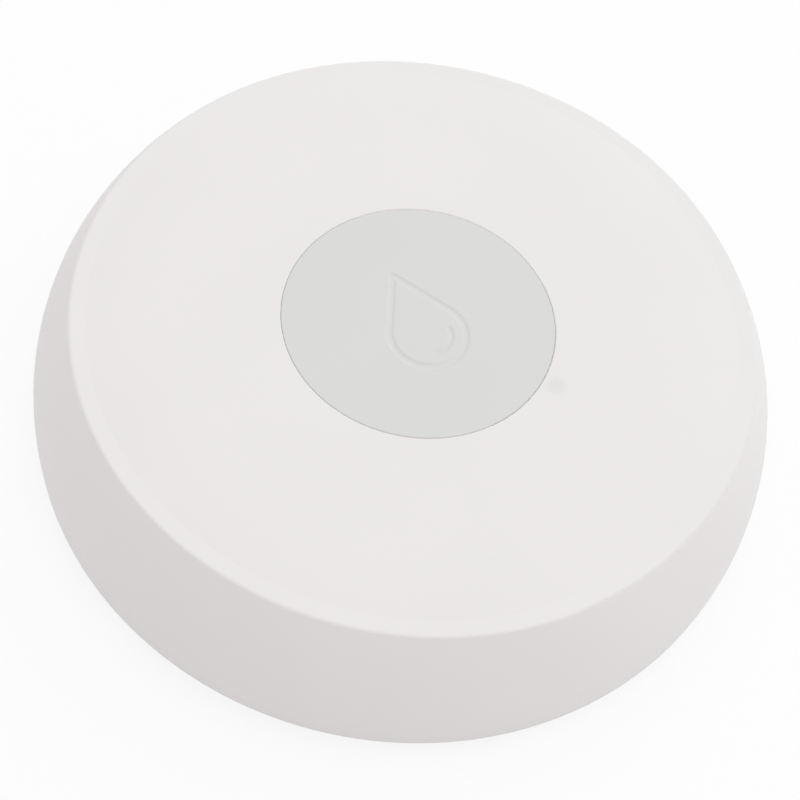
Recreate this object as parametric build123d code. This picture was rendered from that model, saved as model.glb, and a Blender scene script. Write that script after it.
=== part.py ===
from build123d import *
import os
from math import asin, cos, degrees, radians, sin, sqrt

# Water leak sensor: a round puck on rubber feet, with a press button in the middle of its top.
# Lengths are in millimetres and angles in degrees.
# The origin is on the table under the centre, +Z is up, and the drop on the button points to +Y.

# Outer body
body_diameter = 65.0
shell_height = 13.8
foot_drop = 1.0
side_arc_radius = 20.7
widest_height = 2.5
skirt_edge_round = 0.5
rim_edge_round = 0.35
lip_width = 1.4
crown_rise = 0.25
crown_flat_radius = 21.5
side_wall = 2.0
top_wall = 2.0
ceiling_round = 1.0

# Clearances
overrun = 1.0
running_gap = 0.05
seat_gap = 0.1
loose_gap = 0.3
insert_gap = 0.15

# Button
button_radius = 11.6
button_gap = 0.07
button_recess = 0.1
button_edge_round = 0.1
button_plate = 1.55
button_skirt_wall = 1.2
button_skirt_depth = 2.8
button_travel = 0.4
button_post_radius = 2.2
button_rib_width = 0.8
button_rib_depth = 0.9
button_rib_count = 6
tab_count = 3
tab_reach = 1.3
tab_thickness = 0.8
tab_arc = 30.0
key_width = 1.0
key_gap_angle = 1.2

# Drop drawn on the button
drop_length = 9.8
drop_bulb_radius = 3.25
drop_line_width = 0.75
drop_line_depth = 0.07
drop_line_slope = 74.0
glint_radius = 1.95
glint_width = 0.65
glint_start_angle = -100.0
glint_end_angle = -4.0

# Status light
light_angle = -54.0
pipe_wall = 0.35
pipe_radius = 0.75
pipe_foot_radius = 1.2
pipe_foot_height = 0.9
window_skin = 0.5
led_length = 1.6
led_width = 0.8
led_height = 0.7

# Membrane under the button and the ring that clamps it
membrane_web = 0.5
membrane_pad_radius = 2.6
membrane_pad_height = 1.0
membrane_fold_inner_radius = 6.4
membrane_fold_outer_radius = 9.0
membrane_fold_height = 0.35
bead_width = 1.35
bead_wall = 0.8
bead_wall_reach = 0.2
retainer_thickness = 1.0
retainer_lip = 0.1
ear_thickness = 0.8
ear_width = 3.4
stake_count = 3
stake_first_angle = 30.0
stake_radius = 0.8
stake_setback = 2.65
stake_head_radius = 1.3
stake_head_height = 0.5

# Push switch under the membrane
switch_width = 6.0
switch_cover_thickness = 0.2
switch_corner_round = 0.5
plunger_radius = 1.75
plunger_flange_radius = 2.2
plunger_flange_height = 0.5
dome_thickness = 0.1
cover_leg_width = 2.4
cover_leg_length = 1.1

# Circuit board
board_thickness = 1.0
board_gap_share = 0.48
switch_floor_share = 0.35
board_edge_gap = 0.5
board_clearance = 0.7
board_screw_count = 3
board_screw_first_angle = 90.0
board_screw_inset = 4.6
board_boss_radius = 2.0
board_screw_radius = 0.85
board_screw_head_radius = 1.6
board_screw_head_height = 1.2
board_screw_reach = 3.6
board_hole_gap = 0.15
board_slot_length = 9.0
board_slot_width = 1.2

# Parts on the board
module_length = 11.0
module_width = 5.2
module_board_thickness = 0.6
module_edge_margin = 1.2
shield_length = 8.0
shield_height = 1.3
shield_margin = 0.4
shield_wall = 0.2
shield_corner_round = 0.5
antenna_length = 7.0
antenna_width = 2.0
antenna_height = 1.1
antenna_angle = 270.0
antenna_edge_margin = 1.0
chip_width = 5.0
chip_height = 0.9
regulator_length = 2.9
regulator_width = 1.6
regulator_height = 1.1
crystal_length = 3.2
crystal_width = 2.5
crystal_height = 0.8
capacitor_length = 2.0
capacitor_width = 1.25
capacitor_height = 0.9
resistor_length = 1.6
resistor_width = 0.8
resistor_height = 0.45
small_part_gap = 1.0
small_part_bevel = 0.12
capacitor_count = 4
resistor_count = 5

# Base plate
base_recess = 0.3
base_thickness = 2.0
base_edge_round = 0.4
upstand_height = 2.2
upstand_wall = 1.6
gasket_width = 0.95
gasket_height = 1.0
gasket_bevel = 0.2
gasket_groove_start = 0.5
base_rib_height = 1.0
rib_width = 0.9
rib_count = 8
shell_rib_height = 1.0

# Case screws and the feet that cover them
case_screw_count = 4
case_screw_first_angle = 45.0
case_boss_gap = 0.5
case_boss_radius = 2.6
case_boss_wall = 1.2
case_screw_radius = 1.1
case_screw_reach = 6.5
screw_head_radius = 2.0
screw_head_height = 1.4
screw_head_gap = 0.2
foot_head_gap = 0.4
screw_floor = 1.0
drive_width = 0.6
drive_length = 2.2
drive_depth = 0.6
gusset_start = 3.0
foot_radius = 3.7
foot_recess = 0.6
foot_edge_round = 0.5

# Coin cell and its door
door_gap = 0.2
cell_radius = 10.0
cell_height = 3.2
cell_cap_radius = 8.6
cell_cap_rise = 0.2
cell_edge_round = 0.5
cup_floor = 1.2
cup_wall = 1.2
cup_height = 3.3
cup_edge_round = 0.2
flange_margin = 2.3
flange_thickness = 1.2
flange_edge_round = 0.3
lug_count = 3
lug_first_angle = 90.0
lug_reach = 1.3
lug_height = 1.0
lug_arc = 24.0
notch_extra_arc = 4.0
door_turn = 40.0
stop_arc = 5.0
stop_gap_angle = 1.5
seal_width = 0.7
seal_bevel = 0.15
slot_length = 14.0
slot_width = 1.8
slot_depth = 0.7
well_wall = 1.0

# Battery holder and contacts
holder_wall = 1.2
holder_roof_share = 0.57
holder_window_start = -8.4
holder_window_end = 4.2
strip_thickness = 0.2
leaf_width = 4.0
leaf_gap = 0.6
leaf_foot_start = -7.6
leaf_foot_end = -5.0
leaf_touch_half = 0.6
leaf_tip = 3.2
leaf_tip_rise = 0.5
side_leaf_width = 3.6
side_leaf_angle = 150.0
side_leaf_offset = 0.4
side_leaf_foot = 1.0
side_leaf_rise = 0.4
holder_gate_arc = 26.0

# Sensing pins
probe_half_spacing = 5.0
probe_tip_clearance = 0.5
probe_head_radius = 2.0
probe_head_round = 0.4
probe_radius = 1.0
probe_rise = 1.0
probe_seal_width = 0.7
probe_seal_height = 0.7
clip_radius = 2.1
clip_thickness = 0.3
probe_leaf_width = 2.4
probe_leaf_inner = 3.3
probe_leaf_bend = 0.6
probe_leaf_foot = 0.8
probe_leaf_tail = 1.0

# Levels above the table
skirt_z = foot_drop
rim_z = skirt_z + shell_height
widest_z = skirt_z + widest_height
crown_z = rim_z + crown_rise
ceiling_z = crown_z - top_wall
base_low_z = skirt_z + base_recess
base_top_z = base_low_z + base_thickness
cap_top_z = crown_z - button_recess
cap_plate_z = cap_top_z - button_plate
cap_skirt_z = cap_top_z - button_skirt_depth
tab_top_z = ceiling_z - seat_gap
tab_low_z = tab_top_z - tab_thickness
post_low_z = min(cap_skirt_z, tab_low_z)
web_low_z = post_low_z - membrane_pad_height
web_top_z = web_low_z + membrane_web
retainer_low_z = web_low_z - retainer_thickness
ear_top_z = retainer_low_z + ear_thickness
plunger_top_z = web_low_z
cover_top_z = plunger_top_z - button_travel - seat_gap
cover_low_z = cover_top_z - switch_cover_thickness
flange_top_z = cover_low_z - running_gap
flange_low_z = flange_top_z - plunger_flange_height
upstand_top_z = base_top_z + upstand_height
groove_low_z = base_top_z + gasket_groove_start
foot_top_z = base_low_z + foot_recess
head_low_z = foot_top_z + foot_head_gap
head_seat_z = head_low_z + screw_head_height
boss_low_z = head_seat_z + screw_floor
gusset_low_z = base_top_z + gusset_start
pocket_z = base_low_z + flange_thickness + running_gap
cell_low_z = base_low_z + cup_floor + seat_gap
cell_top_z = cell_low_z + cell_height
cup_top_z = base_low_z + cup_height
side_touch_z = (cup_top_z + cell_top_z) / 2
lug_low_z = base_top_z + seat_gap
lug_top_z = lug_low_z + lug_height
stop_top_z = lug_low_z + lug_height
holder_low_z = cup_top_z + loose_gap
dome_top_z = flange_low_z - seat_gap
free_height = dome_top_z - dome_thickness - board_thickness - cell_top_z
board_low_z = cell_top_z + board_gap_share * free_height
board_top_z = board_low_z + board_thickness
switch_floor_z = board_top_z + switch_floor_share * free_height
dome_rise = dome_top_z - dome_thickness - switch_floor_z
roof_low_z = board_low_z - holder_roof_share * (board_low_z - cell_top_z)
well_top_z = board_low_z - loose_gap
pin_tip_z = probe_tip_clearance
pin_top_z = base_top_z + probe_rise

# Radii that follow from the sizes above
body_radius = body_diameter / 2
side_centre_radius = body_radius - side_arc_radius
skirt_inner_radius = body_radius - side_wall
base_radius = skirt_inner_radius - insert_gap
upstand_outer_radius = base_radius - insert_gap
upstand_inner_radius = upstand_outer_radius - upstand_wall
button_hole_radius = button_radius + button_gap
tab_outer_radius = button_radius + tab_reach
light_radius = button_hole_radius + pipe_wall + running_gap + pipe_radius
bead_inner_radius = light_radius + pipe_radius + insert_gap + seat_gap
bead_outer_radius = bead_inner_radius + bead_width
bead_wall_outer_radius = bead_outer_radius + insert_gap + bead_wall
stake_circle = bead_outer_radius + stake_setback
case_circle = upstand_inner_radius - case_boss_gap - case_boss_radius
board_radius = upstand_inner_radius - board_edge_gap
board_notch_radius = case_boss_radius + board_clearance
board_screw_circle = board_radius - board_screw_inset
cup_inner_radius = cell_radius + loose_gap
cup_outer_radius = cup_inner_radius + cup_wall
ledge_radius = cup_outer_radius + door_gap
lug_outer_radius = cup_outer_radius + lug_reach
notch_radius = lug_outer_radius + loose_gap
flange_radius = notch_radius + flange_margin
seal_radius = notch_radius + flange_margin / 2
pocket_radius = flange_radius + door_gap
well_inner_radius = notch_radius + loose_gap + seat_gap
well_outer_radius = well_inner_radius + well_wall
holder_outer_radius = cup_inner_radius + holder_wall
probe_x = (pocket_radius + base_radius) / 2

# Angles that follow
tab_first_angle = light_angle + 180 / tab_count
notch_arc = lug_arc + notch_extra_arc
drop_half_angle = degrees(asin(drop_bulb_radius / (drop_length - drop_bulb_radius)))


def spread(count, first):
    return [first + 360 * k / count for k in range(count)]


def polar(radius, angle):
    return (radius * cos(radians(angle)), radius * sin(radians(angle)))


def side_radius(z, inset):
    # The side is one arc in section, and its inner face is the same arc, set in by the wall.
    return side_centre_radius + sqrt((side_arc_radius - inset) ** 2 - (z - widest_z) ** 2)


def upright_box(low_x, high_x, low_y, high_y, low_z, high_z):
    middle = ((low_x + high_x) / 2, (low_y + high_y) / 2, (low_z + high_z) / 2)
    return Pos(*middle) * Box(high_x - low_x, high_y - low_y, high_z - low_z)


def column(radius, low, high, at=(0, 0)):
    return Pos(at[0], at[1], (low + high) / 2) * Cylinder(radius, high - low)


def ring(inner, outer, low, high, middle=0, arc=360):
    place = Pos((inner + outer) / 2, (low + high) / 2)
    section = Plane.XZ * place * Rectangle(outer - inner, high - low)
    return Rot(0, 0, middle - arc / 2) * revolve(section, Axis.Z, arc)


def turned(points):
    # A closed outline of radius and height points, turned about Z.
    return revolve(make_face(Plane.XZ * Polyline(*points, close=True)), Axis.Z)


def strip(points, width):
    # A bent metal strip: its line in radius and height, thickened and given its width.
    section = Plane.XZ * trace(Polyline(*points), strip_thickness)
    return extrude(section, width / 2, both=True)


def near(edges, radius, z):
    # The round edges at one radius and height.
    found = [e for e in edges if e.geom_type == GeomType.CIRCLE]
    return [e for e in found if abs(e.radius - radius) < running_gap and abs(e.center().Z - z) < running_gap]


def inside_solid(inset, low, high):
    # What lies inside the side wall, set in from the outer face, between two heights.
    curve = ThreePointArc(
        (side_radius(low, inset), low),
        (side_radius((low + high) / 2, inset), (low + high) / 2),
        (side_radius(high, inset), high),
    )
    edge = Polyline(curve @ 1, (0, high), (0, low), curve @ 0)
    return revolve(make_face(Plane.XZ * (curve + edge)), Axis.Z)


def shell_outline():
    # Half section of the top shell, from the skirt round the outside to the button hole and back inside.
    rim_radius = side_radius(rim_z, 0)
    lip_inner = rim_radius - lip_width
    ceiling_radius = side_radius(ceiling_z, side_wall)
    middle_z = (widest_z + ceiling_z) / 2
    with BuildSketch(Plane.XZ) as section:
        with BuildLine():
            side = ThreePointArc(
                (side_radius(skirt_z, 0), skirt_z), (body_radius, widest_z), (rim_radius, rim_z)
            )
            lip = Line(side @ 1, (lip_inner, rim_z))
            crown = TangentArc((crown_flat_radius, crown_z), lip @ 1, tangent=(1, 0))
            hole = Polyline(
                crown @ 0,
                (button_hole_radius, crown_z),
                (button_hole_radius, ceiling_z),
                (ceiling_radius, ceiling_z),
            )
            inner = ThreePointArc(
                hole @ 1,
                (side_radius(middle_z, side_wall), middle_z),
                (skirt_inner_radius, widest_z),
            )
            Polyline(inner @ 1, (skirt_inner_radius, skirt_z), side @ 0)
        make_face()
        corners = section.vertices()
        fillet(at_point(corners, side_radius(skirt_z, 0), skirt_z), skirt_edge_round)
        fillet(at_point(section.vertices(), rim_radius, rim_z), rim_edge_round)
        fillet(at_point(section.vertices(), button_hole_radius, crown_z), button_edge_round)
        fillet(at_point(section.vertices(), ceiling_radius, ceiling_z), ceiling_round)
    return section.sketch


def at_point(vertices, radius, z):
    return vertices.sort_by_distance(Vector(radius, z))[0]


def top_shell():
    shell = revolve(shell_outline(), Axis.Z)
    inner_limit = inside_solid(side_wall / 2, gusset_low_z, ceiling_z + top_wall / 2)
    bead_wall_inner = bead_wall_outer_radius - bead_wall
    ribs = ring(bead_wall_inner, bead_wall_outer_radius, web_top_z - bead_wall_reach, ceiling_z)
    for angle in spread(rib_count, 0):
        rib = upright_box(
            bead_wall_outer_radius - bead_wall / 2, body_radius,
            -rib_width / 2, rib_width / 2,
            ceiling_z - shell_rib_height, ceiling_z + top_wall / 2,
        )
        ribs += Rot(0, 0, angle) * rib
    for angle in spread(case_screw_count, case_screw_first_angle):
        gusset = upright_box(
            case_circle, body_radius, -rib_width / 2, rib_width / 2, gusset_low_z, ceiling_z + top_wall / 2
        )
        ribs += Rot(0, 0, angle) * gusset
    shell += ribs & inner_limit
    for angle in spread(case_screw_count, case_screw_first_angle):
        place = polar(case_circle, angle)
        shell += column(case_boss_radius, boss_low_z, ceiling_z + top_wall / 3, place)
    for angle in spread(board_screw_count, board_screw_first_angle):
        place = polar(board_screw_circle, angle)
        shell += column(board_boss_radius, board_top_z, ceiling_z + top_wall / 3, place)
    for angle in spread(stake_count, stake_first_angle):
        place = polar(stake_circle, angle)
        shell += column(stake_radius, retainer_low_z, ceiling_z + top_wall / 3, place)
        shell += stake_head(place)
    for angle in spread(tab_count, tab_first_angle):
        for side in (-1, 1):
            turn = tab_arc / 2 + key_gap_angle + degrees(key_width / tab_outer_radius) / 2
            shell += ring(
                button_hole_radius + button_gap, tab_outer_radius, tab_low_z, ceiling_z + top_wall / 3,
                angle + side * turn, degrees(key_width / tab_outer_radius),
            )
    for angle in spread(case_screw_count, case_screw_first_angle):
        place = polar(case_circle, angle)
        pilot_top = head_seat_z + case_screw_reach + seat_gap
        shell -= column(case_screw_radius + running_gap, boss_low_z - overrun, pilot_top, place)
    for angle in spread(board_screw_count, board_screw_first_angle):
        place = polar(board_screw_circle, angle)
        pilot_top = board_low_z + board_screw_reach + seat_gap
        shell -= column(board_screw_radius + running_gap, board_top_z - overrun, pilot_top, place)
    window = polar(light_radius, light_angle)
    shell -= column(pipe_radius + running_gap, ceiling_z - overrun, crown_z - window_skin, window)
    return shell


def stake_head(place):
    # The melted end of a post: a low cone frustum that traps the ear above it.
    low = retainer_low_z - stake_head_height
    head = Cone(stake_radius, stake_head_radius, stake_head_height)
    return Pos(place[0], place[1], low + stake_head_height / 2) * head


def drop_face(bulb_radius, tip_reach):
    # A circle and its two tangents that meet in a point above it.
    centre_y = drop_bulb_radius - drop_length / 2
    half = radians(drop_half_angle)
    touch_x = bulb_radius * cos(half)
    touch_y = centre_y + bulb_radius * sin(half)
    with BuildSketch() as face:
        with BuildLine():
            bulb = ThreePointArc((-touch_x, touch_y), (0, centre_y - bulb_radius), (touch_x, touch_y))
            Polyline(bulb @ 1, (0, centre_y + tip_reach), bulb @ 0)
        make_face()
    return face.sketch


def drop_lines():
    # The outline of the drop as a band of one width, and the short arc of light inside it.
    centre_y = drop_bulb_radius - drop_length / 2
    outer_radius = drop_bulb_radius + drop_line_width / 2
    inner_radius = drop_bulb_radius - drop_line_width / 2
    slope = sin(radians(drop_half_angle))
    outer = drop_face(outer_radius, outer_radius / slope)
    outer = fillet(outer.vertices().sort_by(Axis.Y)[-1], drop_line_width / 2)
    inner = drop_face(inner_radius, inner_radius / slope)
    glint_arc = glint_end_angle - glint_start_angle
    glint_line = CenterArc((0, centre_y), glint_radius, glint_start_angle, glint_arc)
    return (outer - inner) + SlotArc(glint_line, glint_width)


def button_cap():
    skirt_inner = button_radius - button_skirt_wall
    cap = turned([
        (0, cap_plate_z), (0, cap_top_z), (button_radius, cap_top_z),
        (button_radius, cap_skirt_z), (skirt_inner, cap_skirt_z), (skirt_inner, cap_plate_z),
    ])
    cap = fillet(near(cap.edges(), button_radius, cap_top_z), button_edge_round)
    cap += column(button_post_radius, post_low_z, cap_plate_z + button_plate / 2)
    for angle in spread(button_rib_count, tab_first_angle):
        rib = upright_box(
            button_post_radius / 2, skirt_inner + button_skirt_wall / 2,
            -button_rib_width / 2, button_rib_width / 2,
            cap_plate_z - button_rib_depth, cap_plate_z + button_plate / 2,
        )
        cap += Rot(0, 0, angle) * rib
    for angle in spread(tab_count, tab_first_angle):
        cap += ring(skirt_inner, tab_outer_radius, tab_low_z, tab_top_z, angle, tab_arc)
    # The lines of the drop are shallow, and their sides slope down from the top face.
    lines = Pos(0, 0, cap_top_z) * drop_lines()
    groove = extrude(lines, -drop_line_depth, taper=drop_line_slope)
    return cap - groove - extrude(lines, overrun)


def button_membrane():
    # A bead clamped at the rim, a thin web with one fold, and a pad between button and switch.
    fold_middle = (membrane_fold_inner_radius + membrane_fold_outer_radius) / 2
    slope = membrane_fold_height
    membrane = turned([
        (0, web_low_z), (0, post_low_z), (membrane_pad_radius, post_low_z),
        (membrane_pad_radius, web_top_z), (membrane_fold_inner_radius, web_top_z),
        (membrane_fold_inner_radius + slope, web_top_z - slope),
        (fold_middle, web_top_z - slope), (membrane_fold_outer_radius - slope, web_top_z - slope),
        (membrane_fold_outer_radius, web_top_z), (bead_inner_radius, web_top_z),
        (bead_inner_radius, ceiling_z), (bead_outer_radius, ceiling_z), (bead_outer_radius, web_low_z),
        (membrane_fold_outer_radius + membrane_web, web_low_z),
        (membrane_fold_outer_radius + membrane_web - slope, web_low_z - slope),
        (membrane_fold_inner_radius - membrane_web + slope, web_low_z - slope),
        (membrane_fold_inner_radius - membrane_web, web_low_z),
    ])
    pipe_hole = column(
        pipe_radius + insert_gap, web_low_z - overrun, ceiling_z + overrun, polar(light_radius, light_angle)
    )
    return membrane - pipe_hole


def membrane_retainer():
    inner = bead_inner_radius + retainer_lip
    retainer = ring(inner, bead_outer_radius + retainer_lip, retainer_low_z, web_low_z)
    for angle in spread(stake_count, stake_first_angle):
        ear_end = column(ear_width / 2, retainer_low_z, ear_top_z, (stake_circle, 0))
        ear = upright_box(
            (bead_inner_radius + bead_outer_radius) / 2, stake_circle,
            -ear_width / 2, ear_width / 2, retainer_low_z, ear_top_z,
        )
        retainer += Rot(0, 0, angle) * (ear + ear_end)
    for angle in spread(stake_count, stake_first_angle):
        place = polar(stake_circle, angle)
        retainer -= column(stake_radius + running_gap, retainer_low_z - overrun, ear_top_z + overrun, place)
    return retainer


def light_pipe():
    # A clear rod with a wider foot that gathers the light.
    foot_low = board_top_z + led_height + seat_gap
    top = crown_z - window_skin - running_gap
    pipe = turned([
        (0, foot_low), (0, top), (pipe_radius, top), (pipe_radius, foot_low + pipe_foot_height),
        (pipe_foot_radius, foot_low + pipe_foot_height / 3), (pipe_foot_radius, foot_low),
    ])
    return Pos(*polar(light_radius, light_angle)) * pipe


def status_led():
    middle_z = board_top_z + led_height / 2
    case = upright_box(-led_length / 2, led_length / 2, -led_width / 2, led_width / 2, board_top_z, middle_z)
    dome = upright_box(
        -led_length / 4, led_length / 4, -led_width / 2, led_width / 2, middle_z, board_top_z + led_height
    )
    return Pos(*polar(light_radius, light_angle)) * Rot(0, 0, light_angle + 90) * (case + dome)


def circuit_board():
    # Round, with a bay for each case boss and a slot behind the antenna.
    board = column(board_radius, board_low_z, board_top_z)
    for angle in spread(case_screw_count, case_screw_first_angle):
        place = polar(case_circle, angle)
        board -= column(board_notch_radius, board_low_z - overrun, board_top_z + overrun, place)
    for angle in spread(board_screw_count, board_screw_first_angle):
        place = polar(board_screw_circle, angle)
        hole_radius = board_screw_radius + board_hole_gap
        board -= column(hole_radius, board_low_z - overrun, board_top_z + overrun, place)
    slot = extrude(
        Pos(0, 0, board_low_z - overrun) * SlotOverall(board_slot_length, board_slot_width),
        board_thickness + 2 * overrun,
    )
    slot_circle = antenna_end() - antenna_width - (small_part_gap + board_slot_width) / 2
    board -= Rot(0, 0, antenna_angle) * Pos(slot_circle, 0) * Rot(0, 0, 90) * slot
    return board


def switch_body():
    half = switch_width / 2
    body = upright_box(-half, half, -half, half, board_top_z, cover_low_z)
    body = fillet(body.edges().filter_by(Axis.Z), switch_corner_round)
    body -= column(plunger_flange_radius + running_gap, switch_floor_z, cover_low_z + overrun)
    return body


def switch_cover():
    # A square plate with a hole for the plunger, and two legs bent down the sides.
    half = switch_width / 2
    cover = upright_box(-half, half, -half, half, cover_low_z, cover_top_z)
    cover -= column(plunger_radius + running_gap, cover_low_z - overrun, cover_top_z + overrun)
    for side in (-1, 1):
        leg_x = sorted([side * (half + running_gap), side * (half + running_gap + switch_cover_thickness)])
        cover += upright_box(
            leg_x[0], leg_x[1], -cover_leg_width / 2, cover_leg_width / 2,
            cover_top_z - cover_leg_length, cover_top_z,
        )
        tie_x = sorted([side * (half - switch_corner_round), side * (half + running_gap)])
        cover += upright_box(
            tie_x[0], tie_x[1], -cover_leg_width / 2, cover_leg_width / 2, cover_low_z, cover_top_z
        )
    return cover


def snap_dome():
    # A thin shallow dome of sheet metal, whose crown nearly touches the plunger.
    rim = plunger_flange_radius - running_gap
    ball = (rim ** 2 + dome_rise ** 2) / (2 * dome_rise)
    centre_z = switch_floor_z + dome_rise - ball
    tilt = asin(rim / ball)
    curves = []
    for radius in (ball, ball + dome_thickness):
        half_way = (radius * sin(tilt / 2), centre_z + radius * cos(tilt / 2))
        edge = (radius * sin(tilt), centre_z + radius * cos(tilt))
        curves.append(ThreePointArc((0, centre_z + radius), half_way, edge))
    ends = [Line(curves[0] @ end, curves[1] @ end) for end in (0, 1)]
    return revolve(make_face(Plane.XZ * (Curve() + curves + ends)), Axis.Z)


def switch_plunger():
    plunger = turned([
        (0, flange_low_z), (0, plunger_top_z), (plunger_radius, plunger_top_z),
        (plunger_radius, flange_top_z), (plunger_flange_radius, flange_top_z),
        (plunger_flange_radius, flange_low_z),
    ])
    return plunger


def module_x():
    return -(board_radius - module_edge_margin)


def radio_module():
    start = module_x()
    half = module_length / 2
    top = board_top_z + module_board_thickness
    return upright_box(start, start + module_width, -half, half, board_top_z, top)


def module_shield():
    # An open box of sheet metal, upside down on the module.
    low = board_top_z + module_board_thickness
    start = module_x() + shield_margin
    end = module_x() + module_width - shield_margin
    low_y = -module_length / 2 + shield_margin
    can = upright_box(start, end, low_y, low_y + shield_length, low, low + shield_height)
    can = fillet(can.edges().filter_by(Axis.Z), shield_corner_round)
    return can - upright_box(
        start + shield_wall, end - shield_wall, low_y + shield_wall, low_y + shield_length - shield_wall,
        low - overrun, low + shield_height - shield_wall,
    )


def antenna_end():
    # Its outer corners stay a margin inside the round edge of the board.
    reach = board_radius - antenna_edge_margin
    return sqrt(reach ** 2 - (antenna_length / 2) ** 2)


def chip_antenna():
    half = antenna_length / 2
    end = antenna_end()
    block = upright_box(
        end - antenna_width, end, -half, half, board_top_z, board_top_z + antenna_height
    )
    return Rot(0, 0, antenna_angle) * block


def chip(length, width, height):
    block = upright_box(-length / 2, length / 2, -width / 2, width / 2, board_top_z, board_top_z + height)
    return chamfer(block.faces().sort_by(Axis.Z)[-1].edges(), small_part_bevel)


def controller_chip():
    x = -(switch_width + chip_width) / 2 - small_part_gap
    return Pos(x, 0) * chip(chip_width, chip_width, chip_height)


def voltage_regulator():
    x = (switch_width + regulator_width) / 2 + small_part_gap
    return Pos(x, 0) * Rot(0, 0, 90) * chip(regulator_length, regulator_width, regulator_height)


def crystal():
    y = (switch_width + crystal_width) / 2 + small_part_gap
    return Pos(-(switch_width + crystal_length) / 2, y) * chip(crystal_length, crystal_width, crystal_height)


def capacitors():
    # A row along the front of the switch.
    y = -(switch_width + capacitor_length) / 2 - small_part_gap
    pitch = capacitor_width + small_part_gap
    row = chip(capacitor_width, capacitor_length, capacitor_height)
    return [Pos(pitch * (k - (capacitor_count - 1) / 2), y) * row for k in range(capacitor_count)]


def resistors():
    # A row behind the switch, beside the crystal.
    y = (switch_width + resistor_length) / 2 + small_part_gap
    pitch = resistor_width + small_part_gap
    row = chip(resistor_width, resistor_length, resistor_height)
    return [Pos(pitch * k, y) * row for k in range(resistor_count)]


def base_plate():
    plate = turned([
        (0, pocket_z), (0, base_top_z), (base_radius, base_top_z), (base_radius, base_low_z),
        (pocket_radius, base_low_z), (pocket_radius, pocket_z),
    ])
    plate = fillet(near(plate.edges(), base_radius, base_low_z), base_edge_round)
    plate += ring(upstand_inner_radius, upstand_outer_radius, base_top_z, upstand_top_z)
    plate += ring(well_inner_radius, well_outer_radius, base_top_z, well_top_z)
    for angle in spread(rib_count, 0):
        plate += Rot(0, 0, angle) * upright_box(
            well_outer_radius - well_wall / 2, upstand_inner_radius + upstand_wall / 2,
            -rib_width / 2, rib_width / 2, (pocket_z + base_top_z) / 2, base_top_z + base_rib_height,
        )
    for angle in spread(case_screw_count, case_screw_first_angle):
        pillar_radius = screw_head_radius + screw_head_gap + case_boss_wall
        plate += column(pillar_radius, base_top_z - base_thickness / 2, boss_low_z, polar(case_circle, angle))
    plate -= column(ledge_radius, base_low_z - overrun, base_top_z + overrun)
    for angle in spread(lug_count, lug_first_angle):
        plate -= ring(
            cup_inner_radius, notch_radius, base_low_z - overrun, base_top_z + overrun,
            angle - door_turn, notch_arc,
        )
        start_stop = angle + lug_arc / 2 + stop_gap_angle + stop_arc / 2
        plate += ring(
            ledge_radius + seat_gap, well_inner_radius + well_wall / 2,
            base_top_z - flange_thickness / 2, stop_top_z, start_stop, stop_arc,
        )
    plate -= ring(
        upstand_outer_radius - gasket_width + insert_gap, upstand_outer_radius + overrun,
        groove_low_z, groove_low_z + gasket_height + seat_gap,
    )
    for angle in spread(case_screw_count, case_screw_first_angle):
        place = polar(case_circle, angle)
        plate -= column(foot_radius + seat_gap, base_low_z - overrun, foot_top_z, place)
        plate -= column(screw_head_radius + screw_head_gap, base_low_z - overrun, head_seat_z, place)
        plate -= column(case_screw_radius + board_hole_gap, base_low_z - overrun, boss_low_z + overrun, place)
    for place in probe_places():
        plate -= column(probe_radius + running_gap, base_low_z - overrun, base_top_z + overrun, place)
        seal_pocket = probe_radius + probe_seal_width + running_gap
        plate -= column(seal_pocket, base_low_z - overrun, base_low_z + probe_seal_height, place)
    return plate


def case_gasket():
    outer = side_radius(groove_low_z + gasket_height, side_wall) - running_gap
    inner = upstand_outer_radius - gasket_width + insert_gap + running_gap
    low = groove_low_z + running_gap
    high = low + gasket_height
    return turned([
        (inner, low), (inner, high), (outer - gasket_bevel, high), (outer, high - gasket_bevel),
        (outer, low + gasket_bevel), (outer - gasket_bevel, low),
    ])


def drive_recess(z, place):
    # A cross cut up into a screw head from below.
    cross = upright_box(
        -drive_length / 2, drive_length / 2, -drive_width / 2, drive_width / 2, z - overrun, z + drive_depth
    )
    return Pos(*place) * (cross + Rot(0, 0, 90) * cross)


def case_screw(place):
    screw = column(screw_head_radius, head_low_z, head_seat_z, place)
    screw += column(case_screw_radius, head_low_z, head_seat_z + case_screw_reach, place)
    return screw - drive_recess(head_low_z, place)


def case_screws():
    angles = spread(case_screw_count, case_screw_first_angle)
    return [case_screw(polar(case_circle, angle)) for angle in angles]


def board_screw(place):
    head_low = board_low_z - board_screw_head_height
    screw = column(board_screw_head_radius, head_low, board_low_z, place)
    screw += column(board_screw_radius, head_low, board_low_z + board_screw_reach, place)
    return screw - drive_recess(head_low, place)


def board_screws():
    angles = spread(board_screw_count, board_screw_first_angle)
    return [board_screw(polar(board_screw_circle, angle)) for angle in angles]


def rubber_foot(place):
    foot = column(foot_radius, 0, foot_top_z)
    foot = fillet(near(foot.edges(), foot_radius, 0), foot_edge_round)
    return Pos(*place) * foot


def rubber_feet():
    angles = spread(case_screw_count, case_screw_first_angle)
    return [rubber_foot(polar(case_circle, angle)) for angle in angles]


def coin_cell():
    cell = turned([
        (0, cell_low_z), (0, cell_top_z), (cell_cap_radius, cell_top_z),
        (cell_cap_radius, cell_top_z - cell_cap_rise), (cell_radius, cell_top_z - cell_cap_rise),
        (cell_radius, cell_low_z),
    ])
    return fillet(near(cell.edges(), cell_radius, cell_low_z), cell_edge_round)


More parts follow.
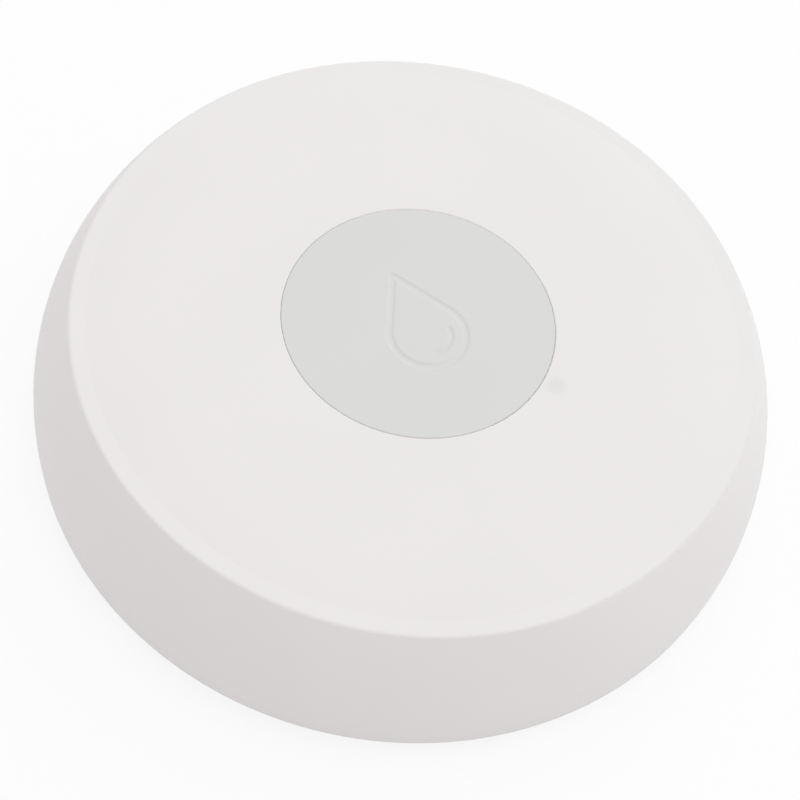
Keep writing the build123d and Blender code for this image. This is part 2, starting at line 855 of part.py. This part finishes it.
def battery_door():
    flange_top = base_low_z + flange_thickness
    door = turned([
        (0, base_low_z), (0, base_low_z + cup_floor), (cup_inner_radius, base_low_z + cup_floor),
        (cup_inner_radius, cup_top_z), (cup_outer_radius, cup_top_z), (cup_outer_radius, flange_top),
        (flange_radius, flange_top), (flange_radius, base_low_z),
    ])
    door = fillet(near(door.edges(), flange_radius, base_low_z), flange_edge_round)
    door = fillet(near(door.edges(), cup_outer_radius, cup_top_z), cup_edge_round)
    for angle in spread(lug_count, lug_first_angle):
        door += ring(
            cup_outer_radius - cup_wall / 2, lug_outer_radius, lug_low_z, lug_top_z, angle, lug_arc
        )
    groove_half = seal_width / 2 + running_gap
    door -= ring(
        seal_radius - groove_half, seal_radius + groove_half, flange_top - seal_width, flange_top + overrun
    )
    slot = Pos(0, 0, base_low_z - overrun) * SlotOverall(slot_length, slot_width)
    return door - extrude(slot, slot_depth + overrun)


def door_seal():
    low = base_low_z + flange_thickness - seal_width
    high = low + seal_width
    inner = seal_radius - seal_width / 2
    outer = seal_radius + seal_width / 2
    return turned([
        (inner, low), (inner, high - seal_bevel), (inner + seal_bevel, high), (outer - seal_bevel, high),
        (outer, high - seal_bevel), (outer, low),
    ])


def battery_holder():
    holder = ring(cup_inner_radius, holder_outer_radius, holder_low_z, board_low_z)
    holder += column(cup_inner_radius + holder_wall / 2, roof_low_z, board_low_z)
    half = leaf_width / 2 + leaf_gap
    holder -= upright_box(
        holder_window_start, holder_window_end, -half, half, roof_low_z - overrun, board_low_z + overrun
    )
    holder -= ring(
        cup_inner_radius - holder_wall / 2, holder_outer_radius + overrun, holder_low_z - overrun,
        board_low_z + overrun, side_leaf_angle, holder_gate_arc,
    )
    return holder


def negative_contact():
    top = board_low_z - strip_thickness / 2
    touch = cell_top_z + strip_thickness / 2
    return strip(
        [
            (leaf_foot_start, top), (leaf_foot_end, top), (-leaf_touch_half, touch),
            (leaf_touch_half, touch), (leaf_tip, touch + leaf_tip_rise),
        ],
        leaf_width,
    )


def positive_contact():
    top = board_low_z - strip_thickness / 2
    upright = holder_outer_radius + side_leaf_offset
    touch = cell_radius + running_gap + strip_thickness / 2
    leaf = strip(
        [
            (upright + side_leaf_foot, top), (upright, top), (upright, side_touch_z + side_leaf_rise),
            (touch, side_touch_z),
        ],
        side_leaf_width,
    )
    return Rot(0, 0, side_leaf_angle) * leaf


def probe_places():
    return [(x, y) for x in (-probe_x, probe_x) for y in (-probe_half_spacing, probe_half_spacing)]


def probe_pin(place):
    pin = column(probe_head_radius, pin_tip_z, base_low_z)
    pin = fillet(near(pin.edges(), probe_head_radius, pin_tip_z), probe_head_round)
    return Pos(*place) * (pin + column(probe_radius, base_low_z, pin_top_z))


def probe_pins():
    return [probe_pin(place) for place in probe_places()]


def probe_seals():
    high = base_low_z + probe_seal_height - running_gap
    seal = ring(probe_radius + running_gap, probe_radius + probe_seal_width, base_low_z, high)
    return [Pos(*place) * seal for place in probe_places()]


def probe_clips():
    clip = ring(probe_radius + running_gap, clip_radius, base_top_z, base_top_z + clip_thickness)
    return [Pos(*place) * clip for place in probe_places()]


def probe_contacts():
    # Leaf springs bent like a C, from the board down to the top of each pin.
    top = board_low_z - strip_thickness / 2
    low = pin_top_z + strip_thickness / 2
    inner = probe_x - probe_leaf_inner
    leaf = strip(
        [
            (probe_x + probe_leaf_foot, top), (inner + probe_leaf_bend, top), (inner, (top + low) / 2),
            (inner + probe_leaf_bend, low), (probe_x + probe_leaf_tail, low),
        ],
        probe_leaf_width,
    )
    leaves = []
    for turn in (0, 180):
        for y in (-probe_half_spacing, probe_half_spacing):
            leaves.append(Rot(0, 0, turn) * Pos(0, y) * leaf)
    return leaves


pieces = {
    "top_shell": top_shell,
    "base_plate": base_plate,
    "case_gasket": case_gasket,
    "button_cap": button_cap,
    "button_membrane": button_membrane,
    "membrane_retainer": membrane_retainer,
    "light_pipe": light_pipe,
    "status_led": status_led,
    "circuit_board": circuit_board,
    "switch_body": switch_body,
    "switch_cover": switch_cover,
    "snap_dome": snap_dome,
    "switch_plunger": switch_plunger,
    "radio_module": radio_module,
    "module_shield": module_shield,
    "chip_antenna": chip_antenna,
    "controller_chip": controller_chip,
    "voltage_regulator": voltage_regulator,
    "crystal": crystal,
    "capacitors": capacitors,
    "resistors": resistors,
    "battery_holder": battery_holder,
    "positive_contact": positive_contact,
    "negative_contact": negative_contact,
    "coin_cell": coin_cell,
    "battery_door": battery_door,
    "door_seal": door_seal,
    "probe_pins": probe_pins,
    "probe_seals": probe_seals,
    "probe_clips": probe_clips,
    "probe_contacts": probe_contacts,
    "case_screws": case_screws,
    "board_screws": board_screws,
    "rubber_feet": rubber_feet,
}

os.makedirs("parts", exist_ok=True)
for name, make in pieces.items():
    made = make()
    solids = [s for piece in (made if isinstance(made, list) else [made]) for s in piece.solids()]
    export_step(Compound(children=solids) if len(solids) > 1 else solids[0], f"parts/{name}.step")
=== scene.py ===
from math import cos, radians, sin, tau

import bmesh
import bpy
from mathutils import Matrix, Vector


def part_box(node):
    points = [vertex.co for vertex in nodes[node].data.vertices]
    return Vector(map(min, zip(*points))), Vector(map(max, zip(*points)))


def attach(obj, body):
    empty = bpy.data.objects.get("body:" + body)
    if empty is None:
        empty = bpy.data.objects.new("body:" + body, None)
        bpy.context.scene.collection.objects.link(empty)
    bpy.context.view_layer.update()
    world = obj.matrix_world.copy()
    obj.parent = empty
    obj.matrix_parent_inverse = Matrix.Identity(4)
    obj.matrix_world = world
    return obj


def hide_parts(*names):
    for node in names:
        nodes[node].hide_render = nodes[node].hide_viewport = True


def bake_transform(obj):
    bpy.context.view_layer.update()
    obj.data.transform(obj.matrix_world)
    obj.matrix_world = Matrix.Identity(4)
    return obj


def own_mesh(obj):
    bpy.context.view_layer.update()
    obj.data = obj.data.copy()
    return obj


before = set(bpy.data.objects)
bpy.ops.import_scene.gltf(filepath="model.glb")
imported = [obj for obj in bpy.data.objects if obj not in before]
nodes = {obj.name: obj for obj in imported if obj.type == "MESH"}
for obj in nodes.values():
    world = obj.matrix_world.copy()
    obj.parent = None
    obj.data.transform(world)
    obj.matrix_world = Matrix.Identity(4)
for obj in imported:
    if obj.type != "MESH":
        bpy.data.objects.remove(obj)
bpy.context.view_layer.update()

mm = 0.001
um = 0.000001

# Places of the solids at rest, in the frame's metres
shell_low, shell_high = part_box("top_shell")
body_radius = (shell_high.x - shell_low.x) / 2
crown_top = shell_high.z
cap_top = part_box("button_cap")[1].z
light_low, light_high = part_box("light_pipe")
light_place = (light_low + light_high) / 2
led_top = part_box("status_led")[1].z
capacitor_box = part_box("capacitors")
resistor_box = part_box("resistors")
pins_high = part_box("probe_pins")[1]
screws_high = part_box("case_screws")[1]

# Sizes of the solids that their boxes don't give
rim_radius = 29.14 * mm
lip_width = 1.4 * mm
cap_radius = 11.6 * mm
cap_edge_round = 0.1 * mm
pin_radius = 2 * mm
screw_head_radius = 2 * mm
pin_axis = Vector((pins_high.x - pin_radius, pins_high.y - pin_radius, 0))
screw_axis = Vector((screws_high.x - screw_head_radius, screws_high.y - screw_head_radius, 0))

# Pieces that the scene makes itself
cap_growth = 0.057 * mm
membrane_sectors = 12

# Camera, aimed at the middle of the shell's lower edge and solved from the photograph's outlines
photo_pixels = 800
camera_focal_pixels = 1845.0
camera_azimuth = -37.7
camera_elevation = 57.2865
camera_roll = 12.359
camera_distance_in_radii = 5.1498
camera_aside_in_radii = -0.00055
camera_up_in_radii = -0.01879
sensor_width = 36.0

# Light, with places and sizes in metres
white = (1, 1, 1, 1)
sky_strength = 0.782
sky_colour = (0.995, 0.963, 0.993)
backdrop_white = 1.0
key_place = (0.67, 0.21, 0.98)
key_size = 1.8
key_power = 7.5
key_colour = (1.0, 1.085, 1.01)

# Floor: its glow hides it from the camera, fully beyond open_floor and in part near the object
floor_radius = 3.0
floor_sides = 96
floor_colour = (0.9, 0.9, 0.9)
floor_roughness = 0.9
floor_glow_share = 0.85
shadow_reach = 0.12
open_floor = 0.4

# Colours that more than one material has, and the spot over the status light
shell_colour = (0.8, 0.782, 0.766)
dust_colour = (0.45, 0.43, 0.4)
tin_colour = (0.72, 0.72, 0.73)
light_spot_core = 0.2 * mm
light_spot_edge = 1.3 * mm
light_spot_share = 0.45

# A Mix node's colour sockets go by number, because other sockets share their names.
mix_factor, mix_first, mix_second, mix_result = 0, 6, 7, 2
# Noise lies within this range nearly everywhere.
noise_low, noise_high = 0.3, 0.7


def feed(tree, socket, value):
    """Links the value to the socket, or sets it there if it is a plain one."""
    if isinstance(value, bpy.types.NodeSocket):
        tree.links.new(value, socket)
    else:
        socket.default_value = value


class Finish:
    """One procedural material, whose colour, gloss and relief vary over the surface."""

    def __init__(self, name, colour, roughness, metallic=0.0):
        self.material = bpy.data.materials.new(name)
        self.material.use_nodes = True
        self.tree = self.material.node_tree
        self.shader = self.tree.nodes["Principled BSDF"]
        self.shader.inputs["Metallic"].default_value = metallic
        self.place = self.tree.nodes.new("ShaderNodeTexCoord").outputs["Object"]
        self.colour = (*colour, 1.0)
        self.roughness = roughness
        self.height = 0.0

    def node(self, kind, inputs, **settings):
        made = self.tree.nodes.new("ShaderNode" + kind)
        for name, value in settings.items():
            setattr(made, name, value)
        for key, value in inputs.items():
            feed(self.tree, made.inputs[key], value)
        return made

    def math(self, operation, *values):
        return self.node("Math", dict(enumerate(values)), operation=operation).outputs[0]

    def product(self, first, second):
        return self.math("MULTIPLY", first, second)

    def vector(self, operation, *values):
        inputs = dict(enumerate(values))
        return self.node("VectorMath", inputs, operation=operation).outputs

    def split(self, vector):
        return self.node("SeparateXYZ", {0: vector}).outputs

    def noise(self, size, detail=3.0, stretch=(1, 1, 1)):
        """Noise from 0 to 1 with features of about this size, stretched along X, Y or Z."""
        scaled = self.vector("MULTIPLY", self.place, [1 / s for s in stretch])[0]
        inputs = {"Vector": scaled, "Scale": 1 / size, "Detail": detail}
        return self.node("TexNoise", inputs).outputs["Fac"]

    def cells(self, size, **settings):
        """A Voronoi pattern with cells of about this size."""
        inputs = {"Vector": self.place, "Scale": 1 / size}
        return self.node("TexVoronoi", inputs, **settings).outputs

    def ramp(self, value, low, high, to_low=0.0, to_high=1.0):
        """The value carried smoothly from low..high to to_low..to_high, and held there outside."""
        ends = {"From Min": low, "From Max": high, "To Min": to_low, "To Max": to_high}
        made = self.node("MapRange", {"Value": value, **ends}, interpolation_type="SMOOTHSTEP")
        return made.outputs["Result"]

    def fall(self, value, low, high):
        """1 up to low, and 0 from high on."""
        return self.ramp(value, low, high, 1.0, 0.0)

    def mix(self, factor, first, second, blend="MIX"):
        inputs = {mix_factor: factor, mix_first: first, mix_second: second}
        made = self.node("Mix", inputs, data_type="RGBA", blend_type=blend)
        return made.outputs[mix_result]

    def radius_about(self, centre=(0, 0, 0), mirrored=False):
        """Distance from an upright axis, or from its four mirror images in the X and Y planes."""
        place = self.vector("ABSOLUTE", self.place)[0] if mirrored else self.place
        aside = self.vector("SUBTRACT", place, centre)[0]
        flat = self.vector("MULTIPLY", aside, (1, 1, 0))[0]
        return self.vector("LENGTH", flat)["Value"]

    def level(self):
        """Height over the floor."""
        return self.split(self.place)[2]

    def paint(self, mask, colour):
        self.colour = self.mix(mask, self.colour, (*colour, 1.0))
        return self

    def mottle(self, size, amount):
        """The colour drifts lighter and darker by this share."""
        drift = self.ramp(self.noise(size), noise_low, noise_high, 1 - amount, 1 + amount)
        shade = self.node("CombineXYZ", {0: drift, 1: drift, 2: drift}).outputs[0]
        self.colour = self.mix(1.0, self.colour, shade, blend="MULTIPLY")
        return self

    def specks(self, spacing, share, colour, core=0.06, edge=0.1):
        """A few tiny grains of another colour. Their core and edge are shares of the spacing."""
        cells = self.cells(spacing)
        near_middle = self.fall(cells["Distance"], core, edge)
        chosen = self.math("LESS_THAN", self.split(cells["Color"])[0], share)
        return self.paint(self.product(near_middle, chosen), colour)

    def vary_gloss(self, size, amount, stretch=(1, 1, 1)):
        noise = self.noise(size, stretch=stretch)
        drift = self.ramp(noise, noise_low, noise_high, -amount, amount)
        self.roughness = self.math("ADD", self.roughness, drift)
        return self

    def gloss_where(self, mask, roughness):
        """The roughness goes to this value where the mask is 1."""
        change = self.math("SUBTRACT", roughness, self.roughness)
        self.roughness = self.math("MULTIPLY_ADD", mask, change, self.roughness)
        return self

    def relief(self, pattern, depth):
        """Adds this height where the pattern is 1."""
        self.height = self.math("MULTIPLY_ADD", pattern, depth, self.height)
        return self

    def grain(self, size, depth, detail=2.0):
        return self.relief(self.noise(size, detail), depth)

    def rings(self, radius, spacing, depth):
        """Fine turning marks about an axis."""
        turns = self.math("SINE", self.product(radius, tau / spacing))
        return self.relief(self.ramp(turns, -1.0, 1.0), depth)

    def set(self, values):
        """Values that are the same all over, on the shader's own sockets."""
        for name, value in values.items():
            self.shader.inputs[name].default_value = value
        return self

    def done(self):
        feed(self.tree, self.shader.inputs["Base Color"], self.colour)
        feed(self.tree, self.shader.inputs["Roughness"], self.roughness)
        if isinstance(self.height, bpy.types.NodeSocket):
            bump = self.node("Bump", {"Height": self.height, "Distance": 1.0, "Strength": 1.0})
            feed(self.tree, self.shader.inputs["Normal"], bump.outputs[0])
        return self.material


def moulded(name, colour, roughness=0.5):
    """Injection moulded plastic: a fine eroded texture, and slow drifts of tone and gloss."""
    made = Finish(name, colour, roughness)
    made.mottle(size=12 * mm, amount=0.006).vary_gloss(size=6 * mm, amount=0.03)
    return made.grain(size=0.16 * mm, depth=2.2 * um).grain(size=2.5 * mm, depth=4 * um)


def shell_plastic():
    made = moulded("shell_white", shell_colour)
    # The rim's edge is rubbed a little smoother by handling.
    at_rim = made.product(
        made.ramp(made.radius_about(), rim_radius - lip_width, rim_radius - lip_width / 2),
        made.ramp(made.level(), crown_top - lip_width / 2, crown_top),
    )
    rubbed = made.ramp(made.noise(size=2 * mm), low=0.4, high=noise_high)
    made.gloss_where(made.product(at_rim, rubbed), roughness=0.33)
    # The wall is thinned over the status light, which shows as a soft grey spot.
    from_light = made.radius_about((light_place.x, light_place.y, 0))
    spot = made.fall(from_light, light_spot_core, light_spot_edge)
    on_top = made.ramp(made.level(), crown_top - 1 * mm, crown_top - 0.8 * mm)
    shine = made.product(made.product(spot, on_top), light_spot_share)
    made.paint(shine, colour=(0.67, 0.67, 0.66))
    made.specks(spacing=6 * mm, share=0.06, colour=dust_colour)
    return made.set({"Specular IOR Level": 0.3}).done()


def base_plastic():
    made = moulded("base_white", colour=(0.79, 0.78, 0.765))
    made.grain(size=0.3 * mm, depth=5 * um)
    return made.specks(spacing=7 * mm, share=0.08, colour=dust_colour).done()


def button_plastic():
    made = moulded("button_grey", colour=(0.662, 0.662, 0.655))
    radius = made.radius_about()
    # The middle is polished slightly by fingers.
    polish_share = 0.6
    worn = made.product(made.fall(radius, 2 * mm, 9 * mm), made.noise(size=3 * mm))
    made.gloss_where(made.product(worn, polish_share), roughness=0.33)
    # Only the face is grey. The cap's side has the shell's white, from within its edge round on.
    start, inward, down = 0.2 * cap_edge_round, 0.6 * cap_edge_round, 0.8 * cap_edge_round
    side = made.product(
        made.ramp(radius, cap_radius - inward, cap_radius - start),
        made.fall(made.level(), crown_top - down, crown_top - start),
    )
    made.paint(side, shell_colour)
    return made.specks(spacing=6 * mm, share=0.06, colour=(0.4, 0.4, 0.39)).done()


def silicone():
    made = Finish("silicone_white", colour=(0.72, 0.73, 0.74), roughness=0.55)
    made.mottle(size=4 * mm, amount=0.02).vary_gloss(size=2 * mm, amount=0.06)
    made.grain(size=0.2 * mm, depth=4 * um)
    return made.set({"Subsurface Weight": 0.2, "Subsurface Scale": 1 * mm}).done()


def rubber():
    made = Finish("rubber_grey", colour=(0.3, 0.3, 0.31), roughness=0.75)
    made.mottle(size=3 * mm, amount=0.06).vary_gloss(size=1 * mm, amount=0.08)
    made.grain(size=0.1 * mm, depth=8 * um).grain(size=0.6 * mm, depth=6 * um)
    # Dust and scuffs gather on the faces that touch the floor.
    scuff_share = 0.2
    near_floor = made.fall(made.level(), 0.0, 0.4 * mm)
    scuffs = made.ramp(made.noise(size=0.8 * mm, detail=5.0), low=0.5, high=0.72)
    worn = made.product(made.product(near_floor, scuffs), scuff_share)
    return made.paint(worn, colour=(0.52, 0.51, 0.49)).done()


def clear_plastic():
    made = Finish("clear_acrylic", colour=(0.93, 0.95, 0.96), roughness=0.06)
    made.mottle(size=0.6 * mm, amount=0.02).vary_gloss(size=0.5 * mm, amount=0.03)
    made.grain(size=0.8 * mm, depth=2 * um)
    return made.set({"Transmission Weight": 0.9}).done()


def led_resin():
    """Yellowish resin over a pale body."""
    made = Finish("led_resin", colour=(0.85, 0.82, 0.6), roughness=0.25)
    made.paint(made.fall(made.level(), led_top - 0.35 * mm, led_top), colour=(0.8, 0.8, 0.78))
    made.mottle(size=0.3 * mm, amount=0.05).vary_gloss(size=0.3 * mm, amount=0.05)
    return made.set({"Subsurface Weight": 0.3, "Subsurface Scale": 0.5 * mm}).done()


def solder_mask(name, colour, copper):
    """A board: lacquer over tracks that stand up a little, with bright pads."""
    made = Finish(name, colour, roughness=0.3)
    # Tracks run side by side in patches, some along X and some along Y, and some are bare.
    straight_share, tracked_share, track_strength = 0.5, 0.6, 0.7
    half_pitch, track_core, track_edge = 0.32 * mm, 0.08 * mm, 0.11 * mm
    patches = made.cells(size=6.5 * mm, distance="CHEBYCHEV")
    pick = made.split(patches["Color"])
    x, y = made.split(made.place)[:2]
    turned = made.math("GREATER_THAN", pick[0], straight_share)
    across = made.math("MULTIPLY_ADD", turned, made.math("SUBTRACT", y, x), x)
    lines = made.fall(made.math("PINGPONG", across, half_pitch), track_core, track_edge)
    tracks = made.product(lines, made.math("LESS_THAN", pick[1], tracked_share))
    made.paint(made.product(tracks, track_strength), copper).relief(tracks, depth=20 * um)
    # A pad's core and edge are shares of its cell.
    pads = made.fall(made.cells(size=3.5 * mm)["Distance"], low=0.09, high=0.12)
    made.paint(pads, colour=(0.78, 0.66, 0.36)).gloss_where(pads, roughness=0.22)
    made.mottle(size=6 * mm, amount=0.06).vary_gloss(size=2 * mm, amount=0.05)
    made.grain(size=0.4 * mm, depth=3 * um)
    return made.set({"Coat Weight": 0.4, "Coat Roughness": 0.15}).done()


def board():
    return solder_mask("board_green", colour=(0.03, 0.2, 0.09), copper=(0.08, 0.34, 0.16))


def module_board():
    return solder_mask("module_blue", colour=(0.02, 0.06, 0.16), copper=(0.05, 0.13, 0.28))


def black_plastic():
    made = Finish("black_plastic", colour=(0.03, 0.03, 0.032), roughness=0.45)
    made.mottle(size=2 * mm, amount=0.15).vary_gloss(size=1 * mm, amount=0.08)
    return made.grain(size=0.12 * mm, depth=4 * um).done()


def chip_plastic():
    made = Finish("chip_black", colour=(0.028, 0.028, 0.03), roughness=0.55)
    made.mottle(size=1 * mm, amount=0.2).vary_gloss(size=0.6 * mm, amount=0.08)
    return made.grain(size=0.06 * mm, depth=5 * um, detail=4.0).done()


def ceramic(name, colour):
    made = Finish(name, colour, roughness=0.5)
    made.mottle(size=0.5 * mm, amount=0.1).vary_gloss(size=0.4 * mm, amount=0.08)
    return made.grain(size=0.08 * mm, depth=3 * um)


def antenna_ceramic():
    return ceramic("antenna_white", colour=(0.75, 0.74, 0.7)).done()


def tin_ends(made, box, share):
    """Bright tinned ends, this share of the length, on a row of small blocks that lie along Y."""
    low, high = box
    half = (high.y - low.y) / 2
    along = made.math("SUBTRACT", made.split(made.place)[1], (low.y + high.y) / 2)
    edge = half * (1 - share)
    ends = made.ramp(made.math("ABSOLUTE", along), edge, edge + 0.03 * mm)
    made.paint(ends, tin_colour).gloss_where(ends, roughness=0.3)
    feed(made.tree, made.shader.inputs["Metallic"], ends)
    return made.relief(made.product(ends, made.noise(size=0.2 * mm)), depth=10 * um)


def capacitor_ceramic():
    made = ceramic("ceramic_tan", colour=(0.55, 0.42, 0.3))
    return tin_ends(made, capacitor_box, share=0.3).done()


def resistor_body():
    made = ceramic("resistor_black", colour=(0.03, 0.03, 0.035))
    return tin_ends(made, resistor_box, share=0.25).done()


def metal(name, colour, roughness):
    """Bare metal: drifting gloss, faint scratches one way and small marks."""
    made = Finish(name, colour, roughness, metallic=1.0)
    made.mottle(size=2 * mm, amount=0.04).vary_gloss(size=1.2 * mm, amount=0.06)
    made.vary_gloss(size=0.3 * mm, amount=0.05, stretch=(12, 1, 1))
    made.relief(made.noise(size=0.12 * mm, stretch=(20, 1, 1)), depth=1.2 * um)
    return made.grain(size=0.4 * mm, depth=2 * um)


def tin_plate():
    return metal("tin_steel", tin_colour, roughness=0.32).done()


def bronze():
    return metal("spring_bronze", colour=(0.78, 0.6, 0.36), roughness=0.28).done()


def cell_can():
    made = metal("cell_steel", colour=(0.75, 0.75, 0.77), roughness=0.26)
    return made.rings(made.radius_about(), spacing=0.25 * mm, depth=2.5 * um).done()


def screw_zinc():
    made = metal("screw_steel", colour=(0.6, 0.6, 0.62), roughness=0.35)
    radius = made.radius_about(screw_axis, mirrored=True)
    return made.rings(radius, spacing=0.2 * mm, depth=3 * um).done()


def gold():
    made = metal("gold_plate", colour=(0.86, 0.67, 0.3), roughness=0.2)
    radius = made.radius_about(pin_axis, mirrored=True)
    made.rings(radius, spacing=0.16 * mm, depth=2.5 * um)
    # The plating is dulled a little at the middle, where the pin stands nearest the wet floor.
    dull = made.product(made.fall(radius, 0.2 * mm, 1.6 * mm), made.noise(size=0.5 * mm))
    return made.gloss_where(dull, roughness=0.42).done()


finishes = {
    shell_plastic: ["top_shell"],
    base_plastic: ["base_plate", "battery_door", "membrane_retainer"],
    button_plastic: ["button_cap"],
    silicone: ["case_gasket", "button_membrane"],
    rubber: ["rubber_feet", "probe_seals", "door_seal"],
    clear_plastic: ["light_pipe"],
    led_resin: ["status_led"],
    board: ["circuit_board"],
    module_board: ["radio_module"],
    black_plastic: ["switch_body", "switch_plunger", "battery_holder"],
    chip_plastic: ["controller_chip", "voltage_regulator"],
    antenna_ceramic: ["chip_antenna"],
    capacitor_ceramic: ["capacitors"],
    resistor_body: ["resistors"],
    tin_plate: ["switch_cover", "module_shield", "crystal"],
    bronze: ["snap_dome", "positive_contact", "negative_contact", "probe_contacts"],
    cell_can: ["coin_cell"],
    screw_zinc: ["case_screws", "board_screws", "probe_clips"],
    gold: ["probe_pins"],
}


def dress_solids():
    for make, names in finishes.items():
        material = make()
        for name in names:
            nodes[name].data.materials.clear()
            nodes[name].data.materials.append(material)


def place_piece(name, mesh):
    piece = bpy.data.objects.new(name, mesh)
    bpy.context.scene.collection.objects.link(piece)
    return piece


def shown_cap():
    """The cap as the photograph shows it, flush with the crown and nearly meeting the opening.

    Only its top edge differs from the solid, which keeps the button's running clearance."""
    mesh = nodes["button_cap"].data.copy()
    # A little more than the edge round, so that its last points are taken too
    reach = 1.01 * cap_edge_round
    for vertex in mesh.vertices:
        if cap_top - vertex.co.z < reach:
            vertex.co.z += crown_top - cap_top
            radius = vertex.co.xy.length
            if cap_radius - radius < reach:
                vertex.co.x *= (radius + cap_growth) / radius
                vertex.co.y *= (radius + cap_growth) / radius
    piece = place_piece("button_cap_shown", mesh)
    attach(piece, "button")
    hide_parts("button_cap")


def bending_membrane():
    """The diaphragm, cut all round between its rim and its pad into one piece for each sector."""
    half = radians(180 / membrane_sectors)
    for k in range(membrane_sectors):
        middle = 2 * half * k
        shape = bmesh.new()
        shape.from_mesh(nodes["button_membrane"].data)
        for side in (-1, 1):
            edge = middle + side * half
            outward = Vector((-sin(edge), cos(edge), 0)) * side
            bmesh.ops.bisect_plane(
                shape,
                geom=shape.verts[:] + shape.edges[:] + shape.faces[:],
                plane_co=(0, 0, 0),
                plane_no=outward,
                clear_outer=True,
            )
        mesh = bpy.data.meshes.new(f"membrane_sector_{k}")
        shape.to_mesh(mesh)
        shape.free()
        mesh.materials.clear()
        mesh.materials.append(nodes["button_membrane"].data.materials[0])
        piece = place_piece(mesh.name, mesh)
        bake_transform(piece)
        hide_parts("button_membrane")


def flattening_dome():
    """The snap dome, given a mesh of its own."""
    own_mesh(nodes["snap_dome"])


def seen_directly(tree):
    """1 for rays from the camera, and for those that gloss and glass send on."""
    rays = tree.nodes.new("ShaderNodeLightPath").outputs
    total = rays["Is Camera Ray"]
    for name in ("Is Glossy Ray", "Is Transmission Ray"):
        larger = tree.nodes.new("ShaderNodeMath")
        larger.operation = "MAXIMUM"
        tree.links.new(total, larger.inputs[0])
        tree.links.new(rays[name], larger.inputs[1])
        total = larger.outputs[0]
    return total


def show(tree, share, first, second, output):
    """The output has the first shader, and the second by this share."""
    mixed = tree.nodes.new("ShaderNodeMixShader")
    for socket, value in zip(mixed.inputs, (share, first, second)):
        tree.links.new(value, socket)
    tree.links.new(mixed.outputs[0], tree.nodes[output].inputs["Surface"])


def floor():
    """A pale disc under the feet that shows white, with the object's soft shadow."""
    mesh = bpy.data.meshes.new("floor")
    angles = [radians(360 * k / floor_sides) for k in range(floor_sides)]
    points = [(floor_radius * cos(a), floor_radius * sin(a), 0) for a in angles]
    mesh.from_pydata(points, [], [range(floor_sides)])
    made = place_piece("floor", mesh)
    paint = Finish("floor_paint", floor_colour, floor_roughness)
    glow = paint.node("Emission", {"Color": white, "Strength": backdrop_white}).outputs[0]
    # Away from the object's shadow the floor is as white as the backdrop.
    far = paint.ramp(paint.radius_about(), shadow_reach, open_floor, floor_glow_share, 1.0)
    share = paint.product(seen_directly(paint.tree), far)
    show(paint.tree, share, paint.shader.outputs[0], glow, "Material Output")
    mesh.materials.append(paint.done())


def sky():
    """The world lights the object, and looks white."""
    world = bpy.data.worlds.new("studio")
    world.use_nodes = True
    tree = world.node_tree
    lit = tree.nodes["Background"]
    lit.inputs["Color"].default_value = (*sky_colour, 1)
    lit.inputs["Strength"].default_value = sky_strength
    shown = tree.nodes.new("ShaderNodeBackground")
    shown.inputs["Color"].default_value = white
    shown.inputs["Strength"].default_value = backdrop_white
    show(tree, seen_directly(tree), lit.outputs[0], shown.outputs[0], "World Output")
    bpy.context.scene.world = world


def key_light():
    light = bpy.data.lights.new("key", "AREA")
    light.shape = "SQUARE"
    light.size = key_size
    light.energy = key_power
    light.color = key_colour
    made = place_piece("key", light)
    made.location = key_place
    made.rotation_euler = (-Vector(key_place)).to_track_quat("-Z", "Y").to_euler()


def camera():
    """The photograph's viewpoint, turned about the middle of the shell's lower edge."""
    elevation, roll = radians(camera_elevation), radians(camera_roll)
    turn = radians(camera_azimuth)
    back = Vector((sin(turn) * cos(elevation), -cos(turn) * cos(elevation), sin(elevation)))
    right = Vector((cos(turn), sin(turn), 0))
    up = back.cross(right)
    aside = right * cos(roll) + up * sin(roll)
    upward = up * cos(roll) - right * sin(roll)
    target = Vector((0, 0, shell_low.z))
    target -= aside * camera_aside_in_radii * body_radius
    target -= upward * camera_up_in_radii * body_radius
    pose = Matrix((aside, upward, back)).transposed().to_4x4()
    pose.translation = target + back * camera_distance_in_radii * body_radius
    data = bpy.data.cameras.new("camera")
    data.sensor_width = sensor_width
    data.lens = camera_focal_pixels * sensor_width / photo_pixels
    data.clip_start = body_radius / 10
    made = place_piece("camera", data)
    made.matrix_world = pose
    bpy.context.scene.camera = made


dress_solids()
shown_cap()
bending_membrane()
flattening_dome()
floor()
sky()
key_light()
camera()
bpy.context.scene.view_settings.view_transform = "Standard"
